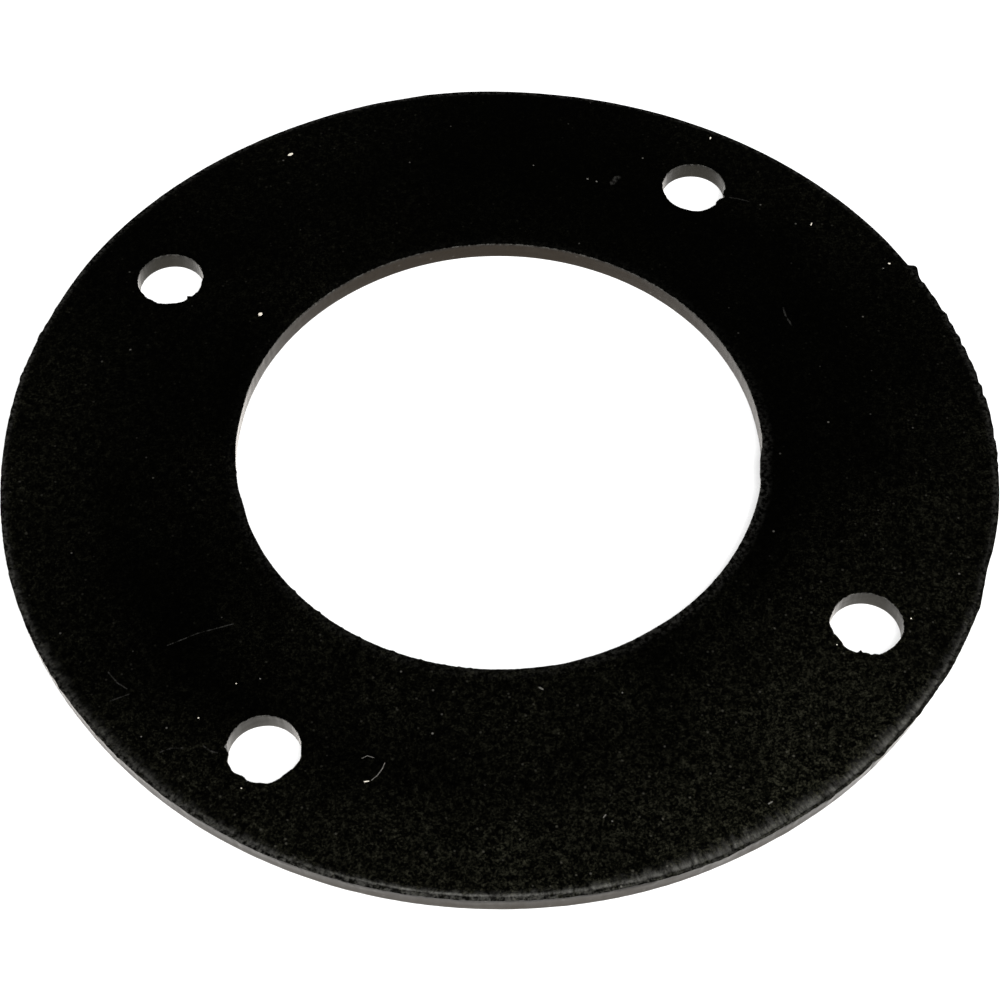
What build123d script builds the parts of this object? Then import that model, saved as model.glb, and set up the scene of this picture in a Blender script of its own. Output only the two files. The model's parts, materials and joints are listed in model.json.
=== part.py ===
from build123d import *
import os
from math import cos, radians, sin

# Full-face rubber flange gasket: one flat ring cut from black sheet rubber.
#
# Frame: millimetres, +Z up. The origin is on the bore's axis, in the bottom face,
# which is the face that the gasket lies on. Angles are in degrees, anticlockwise
# from +X seen from above.
#
# The bore and the bolt holes are round and square to the sheet. The rim was cut
# round and then trimmed by hand over one stretch, which left, in anticlockwise
# order: a corner and a straight knife flat, a short step, a ramp, a run of small
# overlapping scallops, and a little tab where the trimming met the round cut again.

# ---- Driving dimensions ---------------------------------------------------------

# Sheet and ring
sheet_thickness = 3.0
outer_diameter = 150.0
bore_diameter = 80.0

# Bolt holes, a close fit on 10 mm bolts
bolt_circle_diameter = 123.5
bolt_hole_diameter = 10.5
bolt_hole_count = 4
first_bolt_hole_deg = 45.0

# Ledge pressed down round the top of the rim by the cutter
ledge_width = 0.6
ledge_drop = 0.15
ledge_slope_width = 0.55

# Hand-trimmed stretch of the rim. Each rise is measured outwards from the round
# rim, and is negative where the knife went in.
trim_start_deg = -36.2
flat_sweep_deg = 6.0
flat_end_rise = -0.35
step_sweep_deg = 1.6
step_end_rise = -0.1
ramp_sweep_deg = 11.6
ramp_end_rise = 0.12
scallop_count = 19
scallop_sweep_deg = 1.55
scallop_crest_rise = 0.3
scallop_hollow_rise = 0.06
tab_sweep_deg = 2.7
tab_tip_share = 0.75
tab_reach = 0.85
tab_shoulder_reach = 0.65

# Undercut: the knife leaned outwards over part of the rim, so that the wall there
# slopes in towards the bottom face. It swung on a flatter circle than the rim.
undercut_middle_deg = -58.0
undercut_depth = 0.6
undercut_top_clearance = 0.1
undercut_swing_extra = 6.0

# Nibs that the punch left at the top lip of three bolt holes: hole, direction from
# the hole's centre in degrees, width at the wall, width at the tip, reach
hole_nibs = (
    (0, 309.0, 1.5, 0.9, 0.32),
    (1, 297.0, 0.9, 0.1, 0.42),
    (3, 241.0, 1.1, 0.2, 0.4),
)
nib_height = 1.0
nib_root_depth = 0.8

# How far cutting tools run past what they cut
cut_margin = 1.0

# ---- Worked out from them -------------------------------------------------------

outer_radius = outer_diameter / 2
bore_radius = bore_diameter / 2
bolt_circle_radius = bolt_circle_diameter / 2
bolt_hole_radius = bolt_hole_diameter / 2
bolt_hole_pitch_deg = 360 / bolt_hole_count


def polar(radius, angle_deg, centre=(0.0, 0.0)):
    """Point at a radius and angle from a centre."""
    angle = radians(angle_deg)
    return (centre[0] + radius * cos(angle), centre[1] + radius * sin(angle))


def rim_point(angle_deg, rise=0.0):
    """Point on the rim, a rise outwards from the round cut."""
    return polar(outer_radius + rise, angle_deg)


def bolt_hole_centre(number):
    """Centre of a bolt hole, counted anticlockwise from the first."""
    return polar(bolt_circle_radius, first_bolt_hole_deg + number * bolt_hole_pitch_deg)


def knife_strokes():
    """Straight strokes that open the trimmed stretch."""
    strokes = []
    angle = trim_start_deg
    start = rim_point(angle)
    for sweep, rise in (
        (flat_sweep_deg, flat_end_rise),
        (step_sweep_deg, step_end_rise),
        (ramp_sweep_deg, ramp_end_rise),
    ):
        angle += sweep
        end = rim_point(angle, rise)
        strokes.append(Line(start, end))
        start = end
    return strokes, angle


def scallops(angle, start):
    """Run of small overlapping bites that follows them, each a hollow arc."""
    bites = []
    for _ in range(scallop_count):
        hollow = rim_point(angle + scallop_sweep_deg / 2, scallop_hollow_rise)
        angle += scallop_sweep_deg
        crest = rim_point(angle, scallop_crest_rise)
        bites.append(ThreePointArc(start, hollow, crest))
        start = crest
    return bites, angle


def tab(angle, start):
    """Slope out to the tab's tip, and its rounded steep side back to the rim."""
    end_angle = angle + tab_sweep_deg
    tip_angle = angle + tab_sweep_deg * tab_tip_share
    tip = rim_point(tip_angle, tab_reach)
    shoulder = rim_point((tip_angle + end_angle) / 2, tab_shoulder_reach)
    return [Line(start, tip), ThreePointArc(tip, shoulder, rim_point(end_angle))], end_angle


def rim_outline():
    """Closed outline of the rim: the trimmed stretch, then the round rest of it."""
    strokes, angle = knife_strokes()
    bites, angle = scallops(angle, strokes[-1] @ 1)
    tab_edges, angle = tab(angle, bites[-1] @ 1)
    trim_end = tab_edges[-1] @ 1
    opposite = rim_point((angle + trim_start_deg + 360) / 2)
    round_rim = ThreePointArc(trim_end, opposite, strokes[0] @ 0)
    return Wire([*strokes, *bites, *tab_edges, round_rim])


def ring():
    """Trimmed ring, straight through the sheet."""
    return extrude(make_face(rim_outline()) - Circle(bore_radius), sheet_thickness)


def knife_swing():
    """Leaning cylinder that leaves out the wedge taken by the knife at the undercut."""
    swing_radius = outer_radius + undercut_swing_extra
    bottom_offset = outer_radius - undercut_depth - swing_radius
    top_offset = outer_radius + undercut_top_clearance - swing_radius
    lean = (top_offset - bottom_offset) / sheet_thickness
    across = polar(lean, undercut_middle_deg)
    axis = Vector(across[0], across[1], 1.0)
    start = polar(bottom_offset - lean * cut_margin, undercut_middle_deg)
    section = Pos(start[0], start[1], -cut_margin) * Circle(swing_radius)
    return extrude(section, axis.length * (sheet_thickness + 2 * cut_margin), dir=axis)


def ledge_cutter():
    """Ring above the pressed-down ledge, with the slope that leads down to it."""
    ledge_inner = outer_radius - ledge_width
    reach = outer_radius + tab_reach + cut_margin
    section = Plane.XZ * make_face(
        Polyline(
            (ledge_inner - ledge_slope_width, sheet_thickness),
            (ledge_inner, sheet_thickness - ledge_drop),
            (reach, sheet_thickness - ledge_drop),
            (reach, sheet_thickness + cut_margin),
            (ledge_inner - ledge_slope_width, sheet_thickness + cut_margin),
            close=True,
        )
    )
    return revolve(section, Axis.Z)


def bolt_holes():
    """Punches for the bolt holes, evenly spaced on the bolt circle."""
    punches = Part()
    for number in range(bolt_hole_count):
        x, y = bolt_hole_centre(number)
        height = sheet_thickness + 2 * cut_margin
        punches += Pos(x, y, sheet_thickness / 2) * Cylinder(bolt_hole_radius, height)
    return punches


def nib(number, direction_deg, root_width, tip_width, reach):
    """Shred of rubber at a bolt hole's top lip, thinning out down the wall."""
    x, y = bolt_hole_centre(number)
    root = bolt_hole_radius + nib_root_depth

    def section(tip, height):
        """Tapered outline, pointing from the rubber to the hole's centre."""
        outline = Polyline(
            (root, -root_width / 2),
            (root, root_width / 2),
            (tip, tip_width / 2),
            (tip, -tip_width / 2),
            close=True,
        )
        return Pos(x, y, height) * Rot(0, 0, direction_deg) * make_face(outline)

    top = section(bolt_hole_radius - reach, sheet_thickness)
    foot = section(root - nib_root_depth / 2, sheet_thickness - nib_height)
    return loft([foot, top], ruled=True)


def flange_gasket():
    """Whole gasket, one solid."""
    body = ring() & knife_swing()
    body -= ledge_cutter()
    body -= bolt_holes()
    for values in hole_nibs:
        body += nib(*values)
    return body


os.makedirs("parts", exist_ok=True)
export_step(flange_gasket(), "parts/flange_gasket.step")
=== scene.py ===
"""Dressed model of a full-face flange gasket, cut from black sheet rubber.

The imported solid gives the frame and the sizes. One finely worked skin takes its place,
with the ragged lips, cut walls, trimmed rim, punched holes and dust that the solid has
only in outline. A plain white floor, soft lamps and a camera go round it.

Lengths are millimetres unless a name says otherwise. Angles are degrees, anticlockwise
from +X seen from above. A rise is measured outwards from a round cut.
"""

import json
import logging
import math
from dataclasses import dataclass, field
from enum import Enum, IntEnum

import bpy
import numpy as np
from mathutils import Matrix, Vector
from mathutils.geometry import delaunay_2d_cdt

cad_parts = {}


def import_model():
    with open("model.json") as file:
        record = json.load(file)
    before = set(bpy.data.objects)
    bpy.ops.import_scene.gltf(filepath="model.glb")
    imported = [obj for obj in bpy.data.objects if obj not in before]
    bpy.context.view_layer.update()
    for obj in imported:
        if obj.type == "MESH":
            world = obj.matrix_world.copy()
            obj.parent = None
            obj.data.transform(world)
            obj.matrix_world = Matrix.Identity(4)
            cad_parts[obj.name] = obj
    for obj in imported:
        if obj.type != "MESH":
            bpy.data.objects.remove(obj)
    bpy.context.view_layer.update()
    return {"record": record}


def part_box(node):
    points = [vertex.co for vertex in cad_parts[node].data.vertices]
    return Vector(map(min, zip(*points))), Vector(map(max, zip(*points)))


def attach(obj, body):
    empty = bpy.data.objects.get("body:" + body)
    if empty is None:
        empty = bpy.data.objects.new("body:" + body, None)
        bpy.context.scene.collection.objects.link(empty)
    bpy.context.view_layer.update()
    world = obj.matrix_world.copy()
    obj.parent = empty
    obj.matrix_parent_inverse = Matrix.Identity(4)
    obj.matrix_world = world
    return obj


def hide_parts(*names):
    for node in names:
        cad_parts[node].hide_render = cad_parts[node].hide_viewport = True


LOG = logging.getLogger("flange_gasket")
MM = 0.001
CAD_NODE = "flange_gasket"
BODY = "root"
ARC_MAP = "cut_lines"
UNDER_WEAR = 0.2

Point = tuple[float, float]
Colour = tuple[float, float, float]


# ---- Small sums that several parts use -------------------------------------------


def smooth_step(share: np.ndarray) -> np.ndarray:
    """Ease a share in and out.

    Args:
        share: Values that run from 0 to 1 across the change.

    Returns:
        The eased values, held at 0 and 1 outside the change.
    """
    held = np.clip(share, 0.0, 1.0)
    return held * held * (3.0 - 2.0 * held)


def turn_from(angle: np.ndarray, middle: float) -> np.ndarray:
    """Signed turn from a middle angle to each angle, from -180 to 180."""
    return (angle - middle + 180.0) % 360.0 - 180.0


def loop_noise(angle: np.ndarray, waves: int, seed: int) -> np.ndarray:
    """Random unevenness round a closed edge that meets itself.

    Args:
        angle: Angles round the loop.
        waves: How many random values stand round the whole loop.
        seed: Seed of the draw.

    Returns:
        Values from -1 to 1.
    """
    values = np.random.default_rng(seed).uniform(-1.0, 1.0, waves)
    place = np.mod(angle, 360.0) / 360.0 * waves
    low = np.floor(place).astype(int)
    share = smooth_step(place - low)
    return values[low % waves] * (1.0 - share) + values[(low + 1) % waves] * share


@dataclass(frozen=True)
class Tremor:
    """Fine unevenness of an edge, with so many waves right round it."""

    strength: float
    waves: int
    seed: int

    def at(self, angle: np.ndarray) -> np.ndarray:
        """Unevenness at each angle."""
        return self.strength * loop_noise(angle, self.waves, self.seed)


def unevenness(x: np.ndarray, y: np.ndarray, wavelength: float, seed: int) -> np.ndarray:
    """Soft random hills over a face.

    Args:
        x: Places across the face.
        y: Places up the face.
        wavelength: Rough distance from hill to hill.
        seed: Seed of the draw.

    Returns:
        Values from -1 to 1.
    """
    draw = np.random.default_rng(seed)
    total = np.zeros_like(x)
    wave_count = 7
    for _ in range(wave_count):
        heading = draw.uniform(0.0, math.tau)
        number = math.tau / (wavelength * draw.uniform(0.7, 1.5))
        phase = draw.uniform(0.0, math.tau)
        total += np.sin(number * (x * math.cos(heading) + y * math.sin(heading)) + phase)
    return total / wave_count


@dataclass(frozen=True)
class Hills:
    """Soft unevenness over a face."""

    strength: float
    wavelength: float
    seed: int

    def at(self, x: np.ndarray, y: np.ndarray) -> np.ndarray:
        """Unevenness at each place."""
        return self.strength * unevenness(x, y, self.wavelength, self.seed)


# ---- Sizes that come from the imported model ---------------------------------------


@dataclass(frozen=True)
class GasketSizes:
    """Sizes of the gasket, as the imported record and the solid's box give them."""

    thickness: float
    outer_radius: float
    bore_radius: float
    bolt_circle_radius: float
    bolt_hole_radius: float
    bolt_hole_count: int
    low: tuple[float, float, float]
    high: tuple[float, float, float]
    first_bolt_hole: float = 45.0

    @classmethod
    def from_record(cls, record: dict, low: Vector, high: Vector) -> "GasketSizes":
        """Read the sizes.

        Args:
            record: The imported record.
            low: Lowest corner of the solid's box, in metres.
            high: Highest corner of the solid's box, in metres.

        Returns:
            The sizes in millimetres.
        """
        mounts = {mount["name"]: mount["dims"] for mount in record["mounts"]}
        holes = mounts["bolt_holes"]
        return cls(
            thickness=(high.z - low.z) / MM,
            outer_radius=round(-low.y / MM, 1),
            bore_radius=mounts["bore"]["r_mm"],
            bolt_circle_radius=holes["pcd_mm"] / 2,
            bolt_hole_radius=holes["hole_r_mm"],
            bolt_hole_count=holes["count"],
            low=tuple(low / MM),
            high=tuple(high / MM),
        )

    def bolt_hole_centre(self, number: int) -> Point:
        """Centre of a bolt hole, counted anticlockwise from the first."""
        angle = math.radians(self.first_bolt_hole + number * 360.0 / self.bolt_hole_count)
        return (self.bolt_circle_radius * math.cos(angle), self.bolt_circle_radius * math.sin(angle))


@dataclass(frozen=True)
class Lie:
    """How the two faces of the soft sheet lie: flat, but not dead flat."""

    thickness: float
    slack: float = 0.02
    hills: Hills = Hills(0.012, 34.0, 11)
    ripples: Hills = Hills(0.004, 4.0, 12)
    under: Hills = Hills(1.0, 7.0, 13)
    under_height: float = 0.004

    def top(self, x: np.ndarray, y: np.ndarray) -> np.ndarray:
        """Height of the upper face at each place."""
        return self.thickness - self.slack + self.hills.at(x, y) + self.ripples.at(x, y)

    def bottom(self, x: np.ndarray, y: np.ndarray) -> np.ndarray:
        """Height of the lower face at each place, never under the floor."""
        return self.under_height * (1.0 + self.under.at(x, y))


# ---- Flaws of a cut edge ----------------------------------------------------------


class FlawShape(Enum):
    """How an edge strays from its round line."""

    SWELL = "eased in and out"
    TOOTH = "straight sides that meet in a point"
    LUMP = "steep sides and a round top"


@dataclass(frozen=True)
class Flaw:
    """One place where an edge strays from its round line."""

    middle: float
    half_width: float
    rise: float
    shape: FlawShape = FlawShape.SWELL

    def at(self, angle: np.ndarray) -> np.ndarray:
        """Work out the rise that the flaw gives.

        Args:
            angle: Angles round the edge.

        Returns:
            The rise at each angle, 0 beyond the flaw.
        """
        share = np.clip(np.abs(turn_from(angle, self.middle)) / self.half_width, 0.0, 1.0)
        if self.shape is FlawShape.TOOTH:
            return self.rise * (1.0 - share)
        if self.shape is FlawShape.LUMP:
            return self.rise * np.sqrt(1.0 - share**2)
        return self.rise * smooth_step(1.0 - share)


def all_flaws(angle: np.ndarray, flaws: tuple[Flaw, ...]) -> np.ndarray:
    """Rise that a set of flaws gives together at each angle."""
    return sum((flaw.at(angle) for flaw in flaws), np.zeros_like(angle))


@dataclass(frozen=True)
class Wander:
    """Slow change round an edge, given by the angles where it turns back."""

    turns: tuple[Point, ...]

    def at(self, angle: np.ndarray) -> np.ndarray:
        """Work out the change at each angle.

        Args:
            angle: Angles round the edge.

        Returns:
            Values eased from one turning place to the next, right round the edge.
        """
        places, values = np.array(self.turns).T
        places = np.append(places, places[0] + 360.0) - places[0]
        values = np.append(values, values[0])
        turn = np.mod(angle - self.turns[0][0], 360.0)
        low = np.clip(np.searchsorted(places, turn, side="right") - 1, 0, len(places) - 2)
        share = smooth_step((turn - places[low]) / (places[low + 1] - places[low]))
        return values[low] + (values[low + 1] - values[low]) * share


# ---- Edges, as rows of points from the upper face to the lower one ----------------


class Finish(IntEnum):
    """Finishes of the skin, in the order of its material slots."""

    SHEET_FACE = 0
    RIM_CUT = 1
    BORE_CUT = 2
    HOLE_CUT = 3
    LINT = 4
    THIN_LINT = 5


@dataclass
class EdgeRows:
    """Rows of points that go down one edge, each row a closed loop.

    The first row is the upper face's boundary and the last is the lower face's. Every
    array has a line for each row and a column for each angle.
    """

    centre: Point
    angle: np.ndarray
    radius: np.ndarray
    height: np.ndarray
    wear: np.ndarray
    # Painted highlight of the rim's slope, as pale strokes.
    scuff: np.ndarray
    finish: list[Finish]
    lip_row: int
    faces_out: bool

    def places(self) -> tuple[np.ndarray, np.ndarray]:
        """Work out where all the points stand.

        Returns:
            Places across the sheet and up it.
        """
        turn = np.radians(self.angle)
        across, up = self.centre
        return across + self.radius * np.cos(turn), up + self.radius * np.sin(turn)


@dataclass(frozen=True)
class WallCut:
    """Marks that a blade leaves on a cut wall."""

    rib_count: int
    rib_depth: float
    drag_depth: float
    seed: int

    def at(self, angle: np.ndarray, row: int) -> np.ndarray:
        """Work out how one row of the wall strays sideways, in ribs and drag lines.

        Args:
            angle: Angles round the edge.
            row: Number of the row, counted down from the lip.

        Returns:
            The stray at each angle.
        """
        ribs = self.rib_depth * loop_noise(angle, self.rib_count, self.seed)
        drag = self.drag_depth * loop_noise(angle, self.rib_count // 3, self.seed + 1 + row)
        return ribs + drag


def chord(angle: np.ndarray, start: Point, end: Point, radius: float) -> np.ndarray:
    """Rise along a straight knife stroke.

    Args:
        angle: Angles round the rim.
        start: Angle and rise where the stroke starts.
        end: Angle and rise where it ends.
        radius: Radius of the round cut.

    Returns:
        Rises, true between the start and the end only.
    """
    first, last = radius + start[1], radius + end[1]
    sweep = math.radians(end[0] - start[0])
    done, left = np.radians(angle - start[0]), np.radians(end[0] - angle)
    return first * last * math.sin(sweep) / (first * np.sin(done) + last * np.sin(left)) - radius


@dataclass(frozen=True)
class TrimmedStretch:
    """Part of the rim that was trimmed again by hand.

    It runs anticlockwise from a corner: a straight flat, a short step, a ramp, a run of
    small overlapping bites, and a tab where the trimming met the round cut again. Angles
    are turns from +X, so they are negative before it.
    """

    run_in: Point = (-39.0, 0.03)
    corner: Point = (-36.4, 0.14)
    flat_end: Point = (-31.0, -0.38)
    step_end: Point = (-28.8, -0.12)
    ramp: tuple[Point, ...] = ((-27.6, -0.05), (-24.0, 0.13), (-20.0, 0.2), (-17.8, 0.2))
    crests: tuple[Point, ...] = (
        (-16.6, 0.3), (-15.0, 0.4), (-13.3, 0.38), (-11.5, 0.4), (-8.9, 0.46), (-7.0, 0.45),
        (-5.2, 0.47), (-3.1, 0.4), (-1.6, 0.37), (0.8, 0.33), (2.5, 0.42), (4.5, 0.28),
        (6.2, 0.42), (8.9, 0.24), (11.6, 0.25),
    )
    bite_depths: tuple[float, ...] = (
        0.03, 0.12, 0.05, 0.2, 0.04, 0.03, 0.26, 0.24, 0.06, 0.16, 0.26, 0.14, 0.18, 0.18, 0.14, 0.1
    )
    bite_lean: float = 0.3
    tab_start: Point = (12.6, 0.16)
    tab: tuple[Point, ...] = (
        (13.1, 0.42), (13.6, 0.76), (13.95, 0.96), (14.25, 1.02), (14.5, 0.9), (14.7, 0.45),
    )
    end: Point = (14.88, 0.0)
    ease_in: float = 4.0

    def bites(self) -> list[Point]:
        """Work out the run of bites.

        Returns:
            Crests and the hollows between them, in order along the rim.
        """
        crests = [self.ramp[-1], *self.crests, self.tab_start]
        line = [crests[0]]
        for before, after, depth in zip(crests, crests[1:], self.bite_depths):
            hollow_angle = before[0] + self.bite_lean * (after[0] - before[0])
            line += [(hollow_angle, min(before[1], after[1]) - depth), after]
        return line

    def rise(self, angle: np.ndarray, radius: float) -> np.ndarray:
        """Rise over the stretch, and 0 beyond it.

        Args:
            angle: Angles round the rim.
            radius: Radius of the round cut.

        Returns:
            The rise at each angle.
        """
        turn = turn_from(angle, 0.0)
        strokes = (self.corner, self.flat_end, self.step_end)
        eased = [(self.run_in[0] - self.ease_in, 0.0), self.run_in, self.corner, self.step_end]
        line = [*eased, *self.ramp[:-1], *self.bites(), *self.tab, self.end]
        total = np.interp(turn, *np.array(line).T, left=0.0, right=0.0)
        for start, end in zip(strokes, strokes[1:]):
            along = (turn >= start[0]) & (turn < end[0])
            total = np.where(along, chord(turn, start, end, radius), total)
        return total


@dataclass(frozen=True)
class Rim:
    """Outer edge: slope and ledge pressed down by the cutter, lip and cut wall."""

    sizes: GasketSizes
    lie: Lie
    trimmed: TrimmedStretch = TrimmedStretch()
    steps: int = 1900
    ledge_width: float = 0.62
    foot_share: float = 0.45
    lip_line: Wander = Wander(
        (
            (15.0, 0.0), (21.0, 0.12), (68.0, -0.14), (85.0, 0.15), (103.0, -0.08), (136.0, 0.27),
            (148.0, -0.04), (154.0, 0.0), (172.0, -0.18), (190.0, 0.03), (208.0, -0.05),
            (232.0, 0.14), (262.0, 0.03), (280.0, 0.1), (284.0, -0.22), (291.0, -0.22),
            (296.0, -0.1), (306.0, -0.1), (314.0, 0.04), (320.0, 0.0),
        )
    )
    foot_line: Wander = Wander(
        (
            (15.0, 0.0), (190.0, -0.05), (206.0, -0.15), (228.0, 0.0), (270.0, 0.0),
            (286.0, -0.26), (293.0, -0.28), (313.0, -0.5), (332.0, 0.0),
        )
    )
    pressed_line: Wander = Wander(
        (
            (15.0, 0.03), (190.0, 0.03), (225.0, 0.06), (245.0, 0.1), (268.0, 0.12), (285.0, 0.18),
            (316.0, 0.18), (325.0, 0.03),
        )
    )
    slope_line: Wander = Wander(
        (
            (15.0, 0.3), (180.0, 0.4), (205.0, 0.8), (228.0, 0.5), (245.0, 0.3), (262.0, 0.4),
            (280.0, 1.1), (302.0, 0.95), (313.0, 0.65), (326.0, 0.4),
        )
    )
    # Painted highlight: a paler streaky band on the slope and ledge, strongest towards the front and right,
    # where the front lamp stands.
    painted_highlight_line: Wander = Wander(
        (
            (15.0, 0.0), (150.0, 0.05), (200.0, 0.35), (232.0, 0.45), (248.0, 0.95), (275.0, 0.85),
            (305.0, 0.8), (316.0, 0.6), (326.0, 0.25), (345.0, 0.1),
        )
    )
    worn_line: Wander = Wander(
        ((15.0, 0.1), (150.0, 0.12), (200.0, 0.22), (254.0, 0.3), (278.0, 0.16), (314.0, 0.12), (326.0, 0.1))
    )
    ragged_line: Wander = Wander(
        ((15.0, 0.2), (140.0, 0.25), (160.0, 0.8), (300.0, 1.0), (322.0, 0.7), (332.0, 0.2))
    )
    nicks: tuple[Flaw, ...] = (
        Flaw(146.2, 0.5, 0.1, FlawShape.TOOTH),
        Flaw(149.0, 0.4, 0.1, FlawShape.TOOTH),
        Flaw(150.6, 0.7, 0.16, FlawShape.LUMP),
        Flaw(155.8, 0.4, 0.08, FlawShape.TOOTH),
        Flaw(157.0, 0.7, 0.12, FlawShape.LUMP),
        Flaw(199.6, 0.5, 0.12, FlawShape.TOOTH),
        Flaw(201.6, 0.5, 0.12, FlawShape.TOOTH),
        Flaw(208.9, 0.35, 0.2, FlawShape.TOOTH),
        Flaw(212.5, 0.6, 0.1, FlawShape.TOOTH),
        Flaw(278.3, 0.5, -0.1, FlawShape.TOOTH),
        Flaw(293.4, 0.6, 0.12, FlawShape.LUMP),
        Flaw(299.8, 0.25, -0.25, FlawShape.TOOTH),
        Flaw(301.2, 0.7, 0.1, FlawShape.LUMP),
        Flaw(307.8, 0.6, 0.12, FlawShape.TOOTH),
        Flaw(311.5, 1.0, -0.08, FlawShape.LUMP),
    )
    cut: WallCut = WallCut(rib_count=540, rib_depth=0.018, drag_depth=0.014, seed=31)
    lip_tremors: tuple[Tremor, ...] = (Tremor(0.04, 460, 32), Tremor(0.035, 1100, 33))
    ledge_tremors: tuple[Tremor, ...] = (Tremor(0.05, 90, 34), Tremor(0.04, 400, 35))
    slope_tremor: Tremor = Tremor(0.15, 60, 36)
    pressed_tremor: Tremor = Tremor(0.18, 120, 37)
    tilt_tremor: Tremor = Tremor(1.0, 900, 38)
    tilt_least: float = 0.02
    tilt_ragged: float = 0.03
    ledge_follows: float = 0.5
    fade_slopes: float = 2.0
    fade_extra: float = 0.2
    slope_rows: tuple[Point, ...] = ((0.0, 0.42), (0.25, 0.6), (0.5, 0.8), (0.75, 1.0), (1.0, 0.9))
    slope_wear: float = 0.5
    ledge_rows: tuple[float, ...] = (0.3, 0.7)
    ledge_highlight: float = 0.12
    ledge_tilt: float = 0.3
    wall_rows: tuple[float, ...] = (0.0, 0.05, 0.14, 0.27, 0.42, 0.57, 0.72, 0.86, 0.96)
    wall_bulge: float = 0.05
    under_reach: float = 0.06

    def build(self) -> EdgeRows:
        """Work out the rows of the edge.

        The slope's rows give their share of the way out to the ledge, and how much of the painted highlight
        each one shows: a paler band where the slope faces the front lamp.

        Returns:
            The rows, from the untouched face over slope, ledge, lip and wall to the lower face.
        """
        angle = np.arange(self.steps) * 360.0 / self.steps
        turn = np.radians(angle)
        round_radius = self.sizes.outer_radius
        trim = self.trimmed.rise(angle, round_radius)
        roughened = self.ragged_line.at(angle)
        ragged = roughened * sum(tremor.at(angle) for tremor in self.lip_tremors)
        lip = round_radius + self.lip_line.at(angle) + trim + all_flaws(angle, self.nicks) + ragged
        foot = round_radius + self.foot_line.at(angle) + self.foot_share * trim

        ledge = round_radius + self.ledge_follows * self.lip_line.at(angle) + np.minimum(trim, 0.0)
        ledge = ledge - self.ledge_width + sum(tremor.at(angle) for tremor in self.ledge_tremors)
        slope = self.slope_line.at(angle) * (1.0 + self.slope_tremor.at(angle))
        drop = self.pressed_line.at(angle) * (1.0 + self.pressed_tremor.at(angle))
        # rubbed is the painted highlight of the slope that faces the front lamp.
        rubbed, worn_ledge = self.painted_highlight_line.at(angle), self.worn_line.at(angle)
        tilt = self.tilt_least + self.tilt_ragged * roughened * (1.0 + self.tilt_tremor.at(angle))

        def face(radius: np.ndarray) -> np.ndarray:
            """Height of the untouched upper face at a radius."""
            return self.lie.top(radius * np.cos(turn), radius * np.sin(turn))

        radius, height, wear, scuff = [], [], [], []

        def add_row(at: np.ndarray, up: np.ndarray, worn: float, highlight_share: float) -> None:
            """Add one row.

            Args:
                at: Radius at each angle.
                up: Height at each angle.
                worn: Share of the ledge's wear that it shows.
                highlight_share: Share of the painted highlight on the slope that it shows.
            """
            radius.append(at)
            height.append(up)
            wear.append(worn_ledge * worn)
            scuff.append(rubbed * highlight_share)

        fade_in = ledge - self.fade_slopes * slope - self.fade_extra
        add_row(fade_in, face(fade_in), 0.0, 0.0)
        for share, highlight_share in self.slope_rows:
            at = ledge - (1.0 - share) * slope
            pressed = drop * float(smooth_step(np.array(share)))
            add_row(at, face(at) - pressed, self.slope_wear * share, highlight_share)
        for share in self.ledge_rows:
            at = ledge + share * (lip - ledge)
            add_row(at, face(at) - drop - self.ledge_tilt * tilt * share, 1.0, self.ledge_highlight)
        lip_row = len(radius)
        lip_height = face(lip) - drop - tilt
        for row, share in enumerate(self.wall_rows):
            bulge = self.wall_bulge * math.sin(math.pi * share)
            stray = self.cut.at(angle, row) * (share > 0.0)
            at = lip + share * (foot - lip) - bulge + stray
            add_row(at, lip_height * (1.0 - share), float(share == 0.0), 0.0)
        under = foot - self.under_reach
        add_row(under, self.lie.bottom(under * np.cos(turn), under * np.sin(turn)), UNDER_WEAR, 0.0)
        return EdgeRows(
            centre=(0.0, 0.0),
            angle=angle,
            radius=np.array(radius),
            height=np.array(height),
            wear=np.array(wear),
            scuff=np.array(scuff),
            finish=[Finish.SHEET_FACE] * lip_row + [Finish.RIM_CUT] * (len(radius) - 1 - lip_row),
            lip_row=lip_row,
            faces_out=True,
        )


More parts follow.
